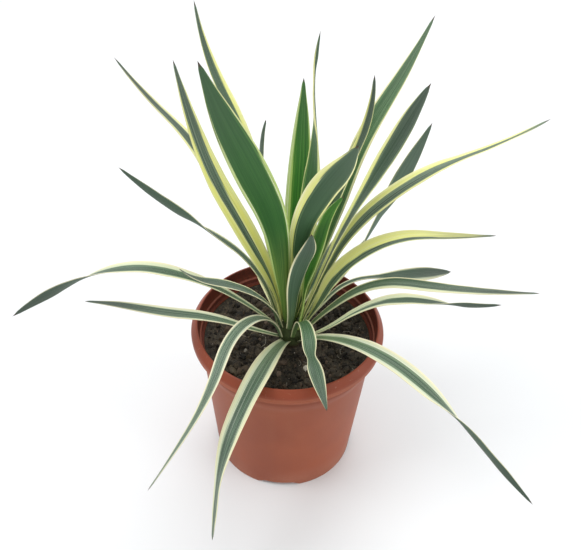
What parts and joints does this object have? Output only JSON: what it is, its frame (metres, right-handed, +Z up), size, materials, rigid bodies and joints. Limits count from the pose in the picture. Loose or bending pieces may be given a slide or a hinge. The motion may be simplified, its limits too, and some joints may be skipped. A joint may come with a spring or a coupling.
{
  "type": "potted yucca",
  "caption": "Rosette of variegated sword-shaped leaves growing from dark soil in a round tapered plastic nursery pot with a flared rim.",
  "frame": {"origin": "middle of the pot's foot, on the surface that the pot stands on", "axes": "+Z up, +Y away from the viewer's side of the plant, +X to the viewer's right"},
  "size_m": [0.4275, 0.3136, 0.4636],
  "materials": {
    "pot_plastic": "satin terracotta-coloured moulded plastic",
    "soil": null,
    "stem": "green woody stem",
    "leaf": null
  },
  "bodies": {
    "root": {"pot": "pot_plastic", "soil": "soil", "stem": "stem", "leaf_01": "leaf", "leaf_02": "leaf", "leaf_03": "leaf", "leaf_04": "leaf", "leaf_05": "leaf", "leaf_06": "leaf", "leaf_07": "leaf", "leaf_08": "leaf", "leaf_09": "leaf", "leaf_10": "leaf", "leaf_11": "leaf", "leaf_12": "leaf", "leaf_13": "leaf", "leaf_14": "leaf", "leaf_15": "leaf", "leaf_16": "leaf", "leaf_17": "leaf", "leaf_18": "leaf", "leaf_19": "leaf", "leaf_20": "leaf", "leaf_21": "leaf", "leaf_22": "leaf", "leaf_23": "leaf", "leaf_24": "leaf", "leaf_25": "leaf", "leaf_26": "leaf", "leaf_27": "leaf", "leaf_28": "leaf", "leaf_29": "leaf", "leaf_30": "leaf", "leaf_31": "leaf"}
  },
  "joints": []
}
